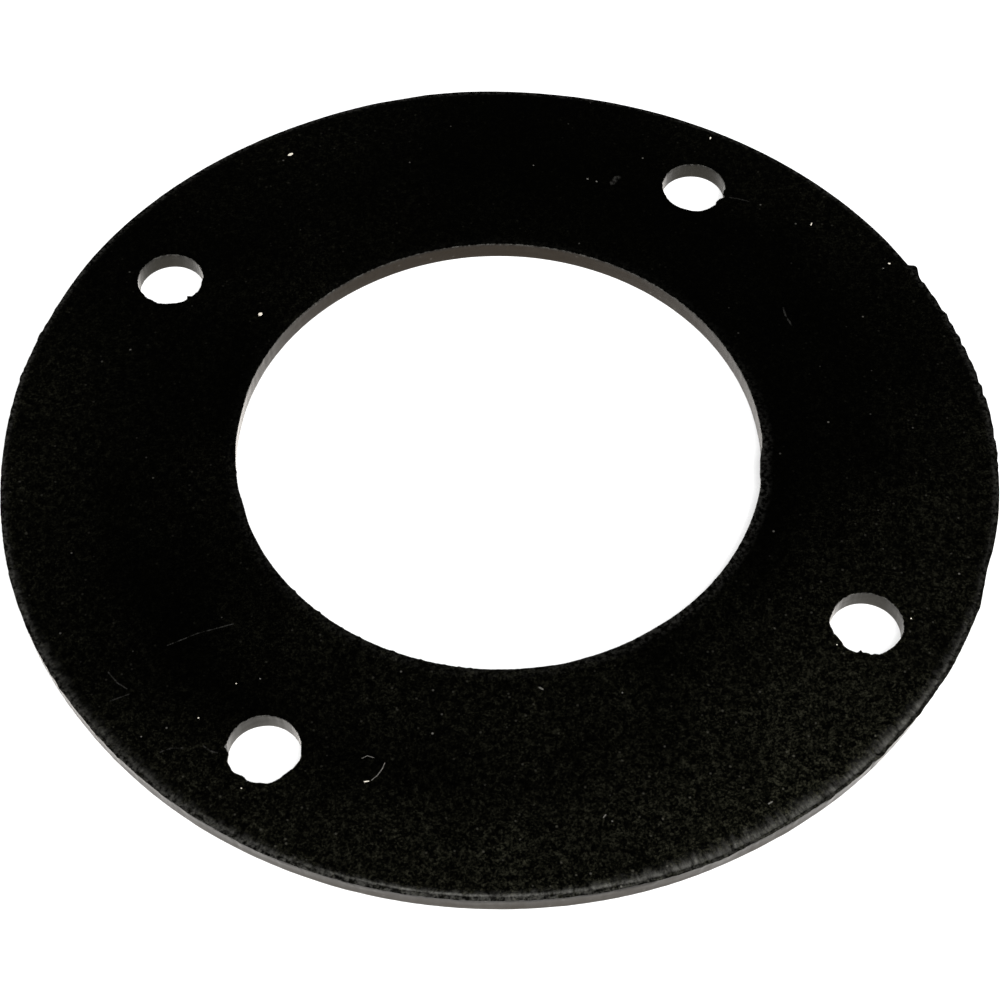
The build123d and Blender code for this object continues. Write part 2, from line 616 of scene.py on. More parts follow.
@dataclass(frozen=True)
class PunchedEdge:
    """Edge of the bore or of a bolt hole: a small drawn-in lip over a cut wall.

    The lip's rows give their share of its width and of its drop, and the rub's rows, where
    the face beside the lip is rubbed, their reach from the lip and share of the rubbing.
    """

    centre: Point
    nominal: float
    lie: Lie
    steps: int
    finish: Finish
    cut: WallCut
    flaws: tuple[Flaw, ...] = ()
    foot_flaws: tuple[Flaw, ...] = ()
    lip_width: float = 0.12
    lip_drop: float = 0.025
    ragged: float = 0.03
    ragged_share: float = 0.6
    foot_share: float = 0.3
    sag_share: float = 0.5
    stray_fade: float = 1.6
    wear_fade: float = 6.0
    waves: int = 200
    rub_line: Wander | None = None
    rub_rows: tuple[Point, ...] = ((1.9, 0.0), (0.9, 0.6))
    lip_rows: tuple[Point, ...] = ((1.0, 0.0), (0.4, 0.25), (0.0, 1.0))
    wall_rows: tuple[float, ...] = (0.05, 0.14, 0.28, 0.44, 0.6, 0.76, 0.9, 0.97)
    under_reach: float = 0.05

    def build(self) -> EdgeRows:
        """Work out the rows of the edge.

        Returns:
            The rows, from the face over the lip and down the wall to the lower face.
        """
        angle = np.arange(self.steps) * 360.0 / self.steps
        turn = np.radians(angle)
        seed = self.cut.seed
        coarse = loop_noise(angle, self.waves, seed + 40)
        fine = loop_noise(angle, self.waves * 3, seed + 41)
        noise = self.ragged * (self.ragged_share * coarse + self.ragged_share * fine)
        lip = self.nominal + all_flaws(angle, self.flaws) + noise
        foot_noise = self.foot_share * self.ragged * loop_noise(angle, self.waves // 4, seed + 42)
        foot = self.nominal + all_flaws(angle, self.foot_flaws) + foot_noise

        def face(radius: np.ndarray, upper: bool = True) -> np.ndarray:
            """Height of an untouched face at a radius."""
            height = self.lie.top if upper else self.lie.bottom
            return height(self.centre[0] + radius * np.cos(turn), self.centre[1] + radius * np.sin(turn))

        radius, height, wear = [], [], []
        rubbed = np.zeros_like(angle) if self.rub_line is None else self.rub_line.at(angle)
        for reach, share in self.rub_rows if self.rub_line else ():
            radius.append(lip + reach)
            height.append(face(radius[-1]))
            wear.append(rubbed * share)
        for share, sink in self.lip_rows:
            radius.append(lip + self.lip_width * share)
            sag = 1.0 + self.sag_share * loop_noise(angle, self.waves, seed + 43)
            height.append(face(radius[-1]) - self.lip_drop * sink * sag)
            wear.append(np.maximum(rubbed, 1.0 - share))
        lip_row = len(radius) - 1
        lip_height = height[-1]
        for row, share in enumerate(self.wall_rows):
            strays_left = (1.0 - share) ** self.stray_fade
            radius.append(foot + strays_left * (lip - foot) + self.cut.at(angle, row))
            height.append(lip_height * (1.0 - share))
            wear.append(np.full_like(angle, max(0.0, 1.0 - self.wear_fade * share)))
        radius.append(foot + self.under_reach)
        height.append(face(radius[-1], upper=False))
        wear.append(np.full_like(angle, UNDER_WEAR))
        return EdgeRows(
            centre=self.centre,
            angle=angle,
            radius=np.array(radius),
            height=np.array(height),
            wear=np.array(wear),
            scuff=np.zeros((len(radius), self.steps)),
            finish=[Finish.SHEET_FACE] * lip_row + [self.finish] * (len(radius) - 1 - lip_row),
            lip_row=lip_row,
            faces_out=False,
        )


# ---- Marks on the upper face ------------------------------------------------------


class MarkKind(Enum):
    """What a mark on the upper face is."""

    FLECK = "chip of pale dust"
    HAIR = "curl of lint"
    THIN = "thin smear of dust"
    SCRATCH = "dry rubbed line"


MARK_FINISHES: dict[MarkKind, Finish] = {
    MarkKind.FLECK: Finish.LINT,
    MarkKind.HAIR: Finish.THIN_LINT,
    MarkKind.THIN: Finish.THIN_LINT,
    MarkKind.SCRATCH: Finish.SHEET_FACE,
}


@dataclass(frozen=True)
class MarkRing:
    """Ring of points round a mark: its reach in half widths, share of the rise, and place."""

    reach: float
    rise_share: float
    in_core: bool


@dataclass(frozen=True)
class Mark:
    """One mark on the upper face, drawn along a path."""

    path: tuple[Point, ...]
    half_width: float
    kind: MarkKind = MarkKind.FLECK
    rise: float = 0.02
    rings: tuple[MarkRing, ...] = (MarkRing(1.0, 0.7, True), MarkRing(1.9, 0.0, False))
    ring_clear: float = 0.55
    face_clear: float = 3.0
    spine_spacing: float = 1.5
    chip_sides: int = 8
    chip_stretch: Point = (0.75, 1.25)

    def spine(self, spacing: float) -> np.ndarray:
        """Place points along the path.

        Args:
            spacing: The furthest that two of them may stand apart.

        Returns:
            Places of the points, or the one point of a mark that is only a spot.
        """
        if len(self.path) == 1:
            return np.array(self.path)
        corners = np.array(self.path)
        steps = np.linalg.norm(np.diff(corners, axis=0), axis=1)
        run = np.concatenate(([0.0], np.cumsum(steps)))
        count = max(2, math.ceil(run[-1] / spacing) + 1)
        places = np.linspace(0.0, run[-1], count)
        return np.stack([np.interp(places, run, corners[:, k]) for k in (0, 1)], axis=1)

    def distance(self, places: np.ndarray) -> np.ndarray:
        """Measure how far the mark's spine is.

        Args:
            places: Places on the face.

        Returns:
            The distance from each place.
        """
        spine = self.spine(self.half_width)
        gaps = np.linalg.norm(places[:, None, :] - spine[None, :, :], axis=2)
        return gaps.min(axis=1)

    def points(self, draw: np.random.Generator) -> tuple[np.ndarray, np.ndarray, np.ndarray]:
        """Points that give the mark its shape.

        Args:
            draw: Random numbers that make a chip of dust uneven.

        Returns:
            Places, how far each stands above the face, and whether it is in the core.
        """
        spine = self.spine(self.spine_spacing * self.half_width)
        places, rises, core = [spine], [np.full(len(spine), self.rise)], [np.full(len(spine), True)]
        for ring in self.rings:
            around = self._ring(spine, ring.reach * self.half_width, draw if ring.in_core else None)
            clear = self.distance(around) > self.ring_clear * ring.reach * self.half_width
            around = around[clear]
            places.append(around)
            rises.append(np.full(len(around), self.rise * ring.rise_share))
            core.append(np.full(len(around), ring.in_core))
        return np.concatenate(places), np.concatenate(rises), np.concatenate(core)

    def _ring(self, spine: np.ndarray, reach: float, draw: np.random.Generator | None) -> np.ndarray:
        """Place points round the spine.

        Args:
            spine: Points along the middle of the mark.
            reach: How far out the points stand.
            draw: Random numbers that make a spot's ring uneven, or None for an even one.

        Returns:
            Places of the points.
        """
        if len(spine) == 1:
            count = self.chip_sides
            turn = np.arange(count) * math.tau / count
            stretch = 1.0 if draw is None else draw.uniform(*self.chip_stretch, count)
            out = (reach * np.ones(count) * stretch)[:, None]
            return spine + np.stack([np.cos(turn), np.sin(turn)], axis=1) * out
        ahead = np.gradient(spine, axis=0)
        ahead /= np.linalg.norm(ahead, axis=1)[:, None]
        side = np.stack([-ahead[:, 1], ahead[:, 0]], axis=1) * reach
        tips = np.array([spine[0] - ahead[0] * reach, spine[-1] + ahead[-1] * reach])
        return np.concatenate([spine + side, spine - side, tips])


@dataclass(frozen=True)
class BloomAndPaintedSheen:
    """How the paleness of the upper face changes round it, at three distances out: partly its own patchy
    blooming, partly a painted sheen of the front lamp towards the front and the right.
    """

    radii: tuple[float, float, float] = (44.0, 58.0, 72.0)
    # Each line is highest towards the front and the right, under the front lamp: painted sheen over the
    # face's own patchy paleness.
    inner: Wander = Wander(
        (
            (20.0, 0.04), (75.0, 0.07), (125.0, 0.17), (150.0, 0.03), (180.0, 0.16), (195.0, 0.1),
            (220.0, 0.28), (265.0, 0.36), (288.0, 0.15), (302.0, 0.17), (330.0, 0.03),
        )
    )
    middle: Wander = Wander(
        (
            (15.0, 0.04), (80.0, 0.03), (105.0, 0.1), (125.0, 0.07), (165.0, 0.11), (200.0, 0.03),
            (212.0, 0.04), (240.0, 0.17), (270.0, 0.36), (300.0, 0.58), (330.0, 0.34),
            (345.0, 0.1),
        )
    )
    outer: Wander = Wander(
        (
            (0.0, 0.14), (30.0, 0.2), (75.0, 0.03), (105.0, 0.18), (135.0, 0.05), (165.0, 0.36),
            (200.0, 0.23), (225.0, 0.5), (255.0, 0.78), (298.0, 1.05), (318.0, 0.5), (345.0, 0.36),
        )
    )

    def at(self, x: np.ndarray, y: np.ndarray) -> np.ndarray:
        """Work out the strength of the face's paleness, painted sheen included.

        Args:
            x: Places across the face.
            y: Places up the face.

        Returns:
            The strength at each place, even from one of the three distances to the next.
        """
        angle, radius = np.degrees(np.arctan2(y, x)), np.hypot(x, y)
        inner, middle, outer = (line.at(angle) for line in (self.inner, self.middle, self.outer))
        near, far = (
            np.clip((radius - low) / (high - low), 0.0, 1.0) for low, high in zip(self.radii, self.radii[1:])
        )
        return inner + near * (middle - inner) + far * (outer - middle)


@dataclass(frozen=True)
class FaceMarks:
    """Dust, scratches and blooms of the upper face, with a painted sheen of the front lamp in its paleness.
    """

    bloom_and_sheen_lines: BloomAndPaintedSheen = BloomAndPaintedSheen()
    patches: tuple[Hills, ...] = (Hills(0.45, 12.0, 51), Hills(0.35, 3.5, 52))
    bloom_and_sheen_range: Point = (0.01, 1.2)
    scratch_paleness: float = 0.4
    seed: int = 63
    marks: tuple[Mark, ...] = (
        Mark(((49.7, 54.0), (49.5, 53.7)), 0.12),
        Mark(((-20.3, 66.3), (-19.8, 66.5)), 0.25),
        Mark(((-31.0, 33.0), (-30.8, 33.2)), 0.3),
        Mark(((69.6, 24.3), (69.9, 24.5)), 0.12),
        Mark(((69.5, 20.3), (69.7, 20.2)), 0.14),
        Mark(((68.3, 19.5),), 0.14, MarkKind.THIN),
        Mark(((50.0, -44.3),), 0.12),
        Mark(((38.3, -46.0),), 0.1),
        Mark(((-4.5, -43.0), (-4.1, -43.4)), 0.12, MarkKind.THIN),
        Mark(((6.6, -46.5),), 0.12, MarkKind.THIN),
        Mark(((21.2, -67.7), (21.8, -67.5)), 0.1, MarkKind.THIN),
        Mark(((0.0, -65.3),), 0.12, MarkKind.THIN),
        Mark(((-1.0, -64.5), (-0.6, -64.2)), 0.1, MarkKind.THIN),
        Mark(((-42.2, -32.6),), 0.12, MarkKind.THIN),
        Mark(((-45.6, -32.6),), 0.11),
        Mark(((-51.6, -36.8),), 0.11),
        Mark(((-59.7, -37.9),), 0.1, MarkKind.THIN),
        Mark(((-47.6, -48.9),), 0.1),
        Mark(((19.0, 54.6),), 0.12, MarkKind.THIN),
        Mark(((28.3, 48.6),), 0.15, MarkKind.THIN),
        Mark(((27.0, 49.5),), 0.16, MarkKind.THIN),
        Mark(((59.9, 31.1), (60.2, 31.5)), 0.09),
        Mark(((-31.2, -51.8), (-30.6, -51.85)), 0.09),
        Mark(
            ((-30.2, -51.8), (-29.3, -51.3), (-28.4, -50.4), (-27.9, -49.6)), 0.06, MarkKind.HAIR, 0.015
        ),
        Mark(((-30.8, -48.2), (-30.0, -48.0), (-29.2, -48.5)), 0.05, MarkKind.HAIR, 0.01),
        Mark(((-51.6, -41.3), (-50.8, -42.3), (-49.9, -42.8)), 0.07, MarkKind.SCRATCH, 0.003),
        Mark(((-57.5, -40.9), (-56.0, -40.6), (-54.3, -41.0)), 0.07, MarkKind.SCRATCH, 0.003),
        Mark(((-54.1, -24.2), (-49.6, -23.2), (-44.4, -22.8)), 0.06, MarkKind.SCRATCH, 0.003),
        Mark(((-63.1, -31.3), (-60.3, -30.8)), 0.06, MarkKind.SCRATCH, 0.003),
        Mark(((-62.8, -26.6), (-61.8, -28.6), (-60.6, -29.9)), 0.06, MarkKind.SCRATCH, 0.003),
        Mark(((30.7, 47.6), (31.3, 48.2), (31.9, 48.7)), 0.3, MarkKind.SCRATCH, 0.003),
        Mark(((50.1, 15.3), (49.9, 13.4), (50.4, 11.2)), 0.1, MarkKind.SCRATCH, 0.003),
        Mark(((48.7, 40.1), (50.0, 39.5), (51.7, 38.4)), 0.07, MarkKind.SCRATCH, 0.003),
    )

    def bloom(self, x: np.ndarray, y: np.ndarray) -> np.ndarray:
        """How pale the face is at each place, from 0 to about 1, painted sheen of the front lamp included.
        """
        patches = sum((hills.at(x, y) for hills in self.patches), 1.0)
        return np.clip(self.bloom_and_sheen_lines.at(x, y) * patches, *self.bloom_and_sheen_range)


# ---- The skin ---------------------------------------------------------------------


@dataclass
class SkinParts:
    """Vertices and faces gathered for the skin, with what each one carries."""

    places: list[np.ndarray] = field(default_factory=list)
    wear: list[np.ndarray] = field(default_factory=list)
    scuff: list[np.ndarray] = field(default_factory=list)
    faces: list[tuple[int, ...]] = field(default_factory=list)
    finishes: list[int] = field(default_factory=list)
    corner_map: list[Point] = field(default_factory=list)
    count: int = 0

    def add_points(self, places: np.ndarray, wear: np.ndarray, scuff: np.ndarray) -> int:
        """Add vertices.

        Args:
            places: Where they stand.
            wear: How worn each one is.
            scuff: How scratched each one is, with the painted highlight of the rim's slope.

        Returns:
            The number of the first.
        """
        first = self.count
        self.places.append(places)
        self.wear.append(wear)
        self.scuff.append(scuff)
        self.count += len(places)
        return first

    def add_face(self, corners: tuple[int, ...], finish: int, arc: list[Point]) -> None:
        """Add one face.

        Args:
            corners: Numbers of its vertices.
            finish: Number of its finish.
            arc: Place of each corner on the arc map.
        """
        self.faces.append(corners)
        self.finishes.append(finish)
        self.corner_map.extend(arc)


@dataclass(frozen=True)
class FaceMesh:
    """How one face of the sheet is filled between its edges."""

    spacing: float
    jitter: float
    seed: int
    near_rows: tuple[tuple[float, int], ...]
    clear: float

    def grid(self, reach: float) -> np.ndarray:
        """Lay an uneven triangular grid over the whole ring, centred on the bore.

        Args:
            reach: How far out the grid goes.

        Returns:
            Places of its points.
        """
        step_up = self.spacing * math.sqrt(3.0) / 2.0
        lines = int(reach / step_up) + 1
        across = int(reach / self.spacing) + 1
        column, line = np.meshgrid(np.arange(-across, across + 1), np.arange(-lines, lines + 1))
        x = (column + 0.5 * (line % 2)) * self.spacing
        places = np.stack([x.ravel(), (line * step_up).ravel()], axis=1)
        draw = np.random.default_rng(self.seed)
        return places + draw.uniform(-1.0, 1.0, places.shape) * self.jitter * self.spacing


def bridges_opening(corners: list[int], base: int, steps: int) -> bool:
    """Whether a triangle lies across an opening and not on the rubber.

    Args:
        corners: Numbers of its corners, anticlockwise.
        base: Number of the first point of the opening's edge.
        steps: How many points that edge has, anticlockwise.

    Returns:
        True where all three corners are on the edge and follow one another round it.
    """
    on_edge = [corner - base for corner in corners]
    if min(on_edge) < 0 or max(on_edge) >= steps:
        return False
    turns = [(after - before) % steps for before, after in zip(on_edge, on_edge[1:] + on_edge[:1])]
    return sum(turns) == steps


@dataclass
class GasketSkin:
    """The whole gasket as one closed skin."""

    sizes: GasketSizes
    lie: Lie
    marks: FaceMarks = FaceMarks()
    name: str = "gasket_ring"
    upper: FaceMesh = FaceMesh(0.95, 0.16, 61, ((0.3, 2), (0.75, 4)), 1.25)
    lower: FaceMesh = FaceMesh(1.9, 0.16, 62, ((0.4, 3), (1.1, 7)), 2.1)
    sharp_edge: float = 48.0
    drawn_in: float = 0.08

    def bore(self) -> PunchedEdge:
        """Edge of the bore."""
        return PunchedEdge(
            centre=(0.0, 0.0),
            nominal=self.sizes.bore_radius - self.drawn_in,
            lie=self.lie,
            steps=1000,
            finish=Finish.BORE_CUT,
            cut=WallCut(rib_count=300, rib_depth=0.012, drag_depth=0.012, seed=71),
            waves=330,
            flaws=(
                Flaw(158.0, 10.0, -0.12),
                Flaw(172.0, 32.0, -0.14),
                Flaw(175.0, 0.5, -0.1, FlawShape.TOOTH),
                Flaw(184.0, 5.0, -0.16),
                Flaw(209.0, 0.7, -0.2, FlawShape.TOOTH),
                Flaw(216.4, 0.6, -0.16, FlawShape.TOOTH),
                Flaw(222.5, 0.5, -0.1, FlawShape.TOOTH),
                Flaw(226.8, 0.6, -0.12, FlawShape.TOOTH),
                Flaw(234.5, 0.7, -0.16, FlawShape.TOOTH),
                Flaw(240.5, 0.5, -0.12, FlawShape.TOOTH),
                Flaw(245.5, 0.6, -0.1, FlawShape.TOOTH),
                Flaw(248.5, 0.4, -0.14, FlawShape.TOOTH),
                Flaw(250.8, 0.4, -0.12, FlawShape.TOOTH),
                Flaw(270.0, 5.0, 0.08),
                Flaw(290.0, 9.0, -0.1),
                Flaw(340.6, 4.4, -0.32, FlawShape.LUMP),
                Flaw(341.0, 9.0, -0.12),
            ),
            foot_flaws=(Flaw(76.0, 70.0, -0.02), Flaw(30.0, 25.0, 0.02), Flaw(110.0, 34.0, -0.09)),
            rub_line=Wander(
                (
                    (20.0, 0.02), (150.0, 0.01), (200.0, 0.05), (250.0, 0.05), (300.0, 0.12),
                    (345.0, 0.13), (356.0, 0.04),
                )
            ),
        )

    def bolt_hole(self, number: int) -> PunchedEdge:
        """Edge of one bolt hole, with what the punch left at its lip."""
        flaws = (
            (
                Flaw(190.0, 25.0, -0.08),
                Flaw(265.0, 32.0, 0.16),
                Flaw(308.0, 9.5, -0.34, FlawShape.LUMP),
                Flaw(322.0, 4.0, 0.22, FlawShape.TOOTH),
                Flaw(333.0, 8.0, -0.2, FlawShape.LUMP),
            ),
            (
                Flaw(205.0, 5.0, -0.1, FlawShape.LUMP),
                Flaw(225.0, 6.0, -0.1, FlawShape.LUMP),
                Flaw(240.0, 5.0, 0.08),
                Flaw(262.0, 14.0, -0.08),
                Flaw(284.0, 6.0, 0.1),
                Flaw(297.0, 5.5, -0.6, FlawShape.TOOTH),
                Flaw(318.0, 8.0, 0.1),
                Flaw(340.0, 12.0, -0.12),
            ),
            (
                Flaw(163.0, 4.0, 0.25, FlawShape.TOOTH),
                Flaw(176.0, 16.0, -0.38),
                Flaw(206.0, 8.0, 0.06),
                Flaw(224.0, 13.0, -0.3),
                Flaw(268.0, 14.0, 0.18),
                Flaw(298.0, 12.0, -0.2, FlawShape.LUMP),
                Flaw(330.0, 16.0, 0.12),
            ),
            (
                Flaw(164.0, 16.0, 0.24),
                Flaw(197.0, 12.0, -0.22, FlawShape.LUMP),
                Flaw(218.0, 12.0, 0.08),
                Flaw(238.5, 4.0, -0.55, FlawShape.TOOTH),
                Flaw(247.0, 9.0, -0.36, FlawShape.LUMP),
                Flaw(262.0, 8.0, -0.12),
                Flaw(300.0, 34.0, -0.16),
            ),
        )
        return PunchedEdge(
            centre=self.sizes.bolt_hole_centre(number),
            nominal=self.sizes.bolt_hole_radius - self.drawn_in,
            lie=self.lie,
            steps=176,
            finish=Finish.HOLE_CUT,
            cut=WallCut(rib_count=60, rib_depth=0.014, drag_depth=0.016, seed=80 + number),
            waves=44,
            ragged=0.05,
            flaws=flaws[number % len(flaws)],
        )

    def build(self) -> bpy.types.Object:
        """Build the skin, with the finish number of each face.

        Returns:
            The finished object, in metres.
        """
        edges = [Rim(self.sizes, self.lie).build(), self.bore().build()]
        edges += [self.bolt_hole(number).build() for number in range(self.sizes.bolt_hole_count)]
        parts = SkinParts()
        firsts = [self._add_edge(parts, edge) for edge in edges]
        self._fill_face(parts, edges, firsts, upper=True)
        self._fill_face(parts, edges, firsts, upper=False)
        return self._to_object(parts)

    def _add_edge(self, parts: SkinParts, edge: EdgeRows) -> int:
        """Add an edge's rows as bands of four-sided faces.

        Args:
            parts: The skin so far.
            edge: Rows of the edge.

        Returns:
            The number of the edge's first vertex.
        """
        x, y = edge.places()
        places = np.stack([x.ravel(), y.ravel(), edge.height.ravel()], axis=1)
        first = parts.add_points(places, edge.wear.ravel(), edge.scuff.ravel())
        rows, steps = edge.radius.shape
        arc = np.arange(steps + 1) * math.tau * edge.radius[0].mean() / steps
        fall = np.hypot(np.diff(edge.radius, axis=0), np.diff(edge.height, axis=0)).mean(axis=1)
        depth = np.concatenate(([0.0], np.cumsum(fall)))
        depth -= depth[edge.lip_row]
        for row in range(rows - 1):
            for step in range(steps):
                after = (step + 1) % steps
                corners = (
                    first + row * steps + step,
                    first + (row + 1) * steps + step,
                    first + (row + 1) * steps + after,
                    first + row * steps + after,
                )
                spots = [
                    (arc[step], depth[row]),
                    (arc[step], depth[row + 1]),
                    (arc[step + 1], depth[row + 1]),
                    (arc[step + 1], depth[row]),
                ]
                if not edge.faces_out:
                    corners, spots = corners[::-1], spots[::-1]
                parts.add_face(corners, edge.finish[row], spots)
        return first

    def _inner_points(self, mesh: FaceMesh, edges: list[EdgeRows], row: int) -> np.ndarray:
        """Points that fill a face between its edges.

        Args:
            mesh: How the face is filled.
            edges: All the edges.
            row: Which row of each edge bounds the face, 0 or -1.

        Returns:
            Places of the points.
        """
        grid = mesh.grid(self.sizes.outer_radius)
        keep = np.ones(len(grid), bool)
        near = []
        for edge in edges:
            inwards = -1.0 if edge.faces_out else 1.0
            for away, every in mesh.near_rows:
                turn = np.radians(edge.angle[::every])
                radius = edge.radius[row][::every] + inwards * away
                ring_x = edge.centre[0] + radius * np.cos(turn)
                ring_y = edge.centre[1] + radius * np.sin(turn)
                near.append(np.stack([ring_x, ring_y], axis=1))
            across, up = grid[:, 0] - edge.centre[0], grid[:, 1] - edge.centre[1]
            heading = np.degrees(np.arctan2(up, across)) % 360.0
            bound = np.interp(heading, edge.angle, edge.radius[row], period=360.0)
            keep &= inwards * (np.hypot(across, up) - bound) > mesh.clear
        return np.concatenate([grid[keep], *near])

    def _fill_face(self, parts: SkinParts, edges: list[EdgeRows], firsts: list[int], upper: bool) -> None:
        """Fill the upper or the lower face between the edges.

        Args:
            parts: The skin so far.
            edges: All the edges.
            firsts: Number of each edge's first vertex.
            upper: Whether this is the upper face.
        """
        row, mesh = (0, self.upper) if upper else (-1, self.lower)
        boundary, numbers, lines, loops = [], [], [], []
        for edge, first in zip(edges, firsts):
            x, y = edge.places()
            rows, steps = edge.radius.shape
            base = sum(len(piece) for piece in boundary)
            boundary.append(np.stack([x[row], y[row]], axis=1))
            numbers.append(first + (row % rows) * steps + np.arange(steps))
            lines += [(base + step, base + (step + 1) % steps) for step in range(steps)]
            if not edge.faces_out:
                loops.append((base, steps))
        inner = self._inner_points(mesh, edges, row)
        rises = np.zeros(len(inner))
        finish = np.full(len(inner), int(Finish.SHEET_FACE))
        scuff = np.zeros(len(inner))
        if upper:
            inner, rises, finish, scuff = self._add_marks(inner)
        height = (self.lie.top if upper else self.lie.bottom)(inner[:, 0], inner[:, 1]) + rises
        places = np.column_stack([inner, height])
        first_inner = parts.add_points(places, np.zeros(len(inner)), scuff)
        numbers.append(first_inner + np.arange(len(inner)))
        number = np.concatenate(numbers)
        given = np.concatenate([*boundary, inner])
        core = np.concatenate([np.full(len(given) - len(inner), int(Finish.SHEET_FACE)), finish])
        inside_the_rim, same_place = 1, 1e-5
        flat, _, triangles, origins, _, _ = delaunay_2d_cdt(
            [Vector(place) for place in given], lines, [], inside_the_rim, same_place
        )
        for triangle in triangles:
            corners = [origins[corner][0] for corner in triangle]
            if any(bridges_opening(corners, base, steps) for base, steps in loops):
                continue
            found = {int(core[corner]) for corner in corners}
            shown = found.pop() if len(found) == 1 else int(Finish.SHEET_FACE)
            vertices = tuple(int(number[corner]) for corner in corners)
            spots = [(flat[corner].x, flat[corner].y) for corner in triangle]
            if not upper:
                vertices, spots = vertices[::-1], spots[::-1]
            parts.add_face(vertices, shown, spots)

    def _add_marks(self, inner: np.ndarray) -> tuple[np.ndarray, np.ndarray, np.ndarray, np.ndarray]:
        """Put the marks' points in place of the face's own ones.

        Args:
            inner: The face's own points.

        Returns:
            All the points, their rises, their finishes and how scratched they are.
        """
        draw = np.random.default_rng(self.marks.seed)
        places, rises, finishes, scuffs = [], [], [], []
        for mark in self.marks.marks:
            inner = inner[mark.distance(inner) > mark.face_clear * mark.half_width]
            spots, rise, core = mark.points(draw)
            finish = MARK_FINISHES[mark.kind]
            places.append(spots)
            rises.append(rise)
            finishes.append(np.where(core, int(finish), int(Finish.SHEET_FACE)))
            scuffs.append(self.marks.scratch_paleness * core * (mark.kind is MarkKind.SCRATCH))
        plain = np.zeros(len(inner))
        return (
            np.concatenate([inner, *places]),
            np.concatenate([plain, *rises]),
            np.concatenate([plain + int(Finish.SHEET_FACE), *finishes]),
            np.concatenate([plain, *scuffs]),
        )

    def _to_object(self, parts: SkinParts) -> bpy.types.Object:
        """Turn the gathered parts into an object, in metres.

        Args:
            parts: The whole skin. Vertices that no face uses are left out.

        Returns:
            The new object.
        """
        places = np.clip(np.concatenate(parts.places), self.sizes.low, self.sizes.high)
        used = np.zeros(len(places), bool)
        used[np.concatenate([np.array(face) for face in parts.faces])] = True
        number = np.cumsum(used) - 1
        places = places[used]
        faces = [tuple(number[list(face)].tolist()) for face in parts.faces]
        mesh = bpy.data.meshes.new(self.name)
        mesh.from_pydata((places * MM).tolist(), [], faces)
        mesh.polygons.foreach_set("material_index", np.array(parts.finishes, np.int32))
        arc = mesh.uv_layers.new(name=ARC_MAP)
        arc.data.foreach_set("uv", np.array(parts.corner_map, np.float32).ravel())
        carried = {
            "wear": np.concatenate(parts.wear)[used],
            # Scratches, and the painted highlight of the rim's slope.
            "scuff": np.concatenate(parts.scuff)[used],
            # Paleness of the face: its own patchy blooming and a painted sheen of the front lamp.
            "bloom": self.marks.bloom(places[:, 0], places[:, 1]),
        }
        for name, values in carried.items():
            attribute = mesh.attributes.new(name, "FLOAT", "POINT")
            attribute.data.foreach_set("value", values.astype(np.float32))
        mesh.validate()
        mesh.shade_smooth()
        mesh.set_sharp_from_angle(angle=math.radians(self.sharp_edge))
        skin = bpy.data.objects.new(self.name, mesh)
        bpy.context.scene.collection.objects.link(skin)
        return skin


# ---- Shader building --------------------------------------------------------------


class Graph:
    """Short way to add nodes to a tree and join them."""

    def __init__(self, tree: bpy.types.NodeTree) -> None:
        """Take an empty tree.

        Args:
            tree: The tree to fill.
        """
        self.tree = tree
        tree.nodes.clear()

    def add(self, kind: str, values: dict | None = None, **settings: object) -> bpy.types.Node:
        """Add a node.

        Args:
            kind: The node's type.
            values: Sockets by name, each a value to set or a socket to join.
            settings: Properties of the node itself.

        Returns:
            The new node.
        """
        node = self.tree.nodes.new(kind)
        for name, value in settings.items():
            setattr(node, name, value)
        for name, value in (values or {}).items():
            self.put(node.inputs[name], value)
        return node

    def put(self, socket: bpy.types.NodeSocket, value: object) -> None:
        """Set a socket to a value, or join another socket to it.

        Args:
            socket: The socket to fill.
            value: The value, or the socket to join.
        """
        if isinstance(value, bpy.types.NodeSocket):
            self.tree.links.new(value, socket)
        else:
            socket.default_value = value

    def math(self, operation: str, first: object, second: object = 0.0) -> bpy.types.NodeSocket:
        """Do a sum on two values.

        Args:
            operation: The sum's type.
            first: The first value, or a socket with it.
            second: The second value, or a socket with it.

        Returns:
            The socket with the result.
        """
        node = self.add("ShaderNodeMath", operation=operation)
        self.put(node.inputs[0], first)
        self.put(node.inputs[1], second)
        return node.outputs[0]

    def ramp(
        self, value: object, low: float, high: float, start: float = 0.0, end: float = 1.0
    ) -> bpy.types.NodeSocket:
        """Ease a value from one range to another.

        Args:
            value: The value, or a socket with it.
            low: Value that gives the start.
            high: Value that gives the end.
            start: Result at and beyond the low value.
            end: Result at and beyond the high value.

        Returns:
            The socket with the result.
        """
        node = self.add(
            "ShaderNodeMapRange",
            {"Value": value, "From Min": low, "From Max": high, "To Min": start, "To Max": end},
            interpolation_type="SMOOTHSTEP",
        )
        return node.outputs["Result"]

    def mix(self, share: object, first: object, second: object) -> bpy.types.NodeSocket:
        """Mix two colours.

        Args:
            share: How much of the second colour shows.
            first: The first colour, or a socket with it.
            second: The second colour, or a socket with it.

        Returns:
            The socket with the result.
        """
        node = self.add("ShaderNodeMix", data_type="RGBA")
        colour_inputs = (6, 7)
        self.put(node.inputs[0], share)
        for place, colour in zip(colour_inputs, (first, second)):
            self.put(node.inputs[place], (*colour, 1.0) if isinstance(colour, tuple) else colour)
        return node.outputs[2]

    def noise(
        self, vector: object, scale: object, detail: float, roughness: float = 0.5
    ) -> bpy.types.NodeSocket:
        """Add soft noise.

        Args:
            vector: Where the noise is read.
            scale: How many hills it has along one unit.
            detail: How many finer layers it has.
            roughness: How strong the finer layers are.

        Returns:
            The socket with its value.
        """
        values = {"Vector": vector, "Scale": scale, "Detail": detail, "Roughness": roughness}
        return self.add("ShaderNodeTexNoise", values).outputs["Fac"]


@dataclass(frozen=True)
class GroupPort:
    """One named socket of a shader group."""

    name: str
    kind: str = "NodeSocketFloat"
    default: float | None = None


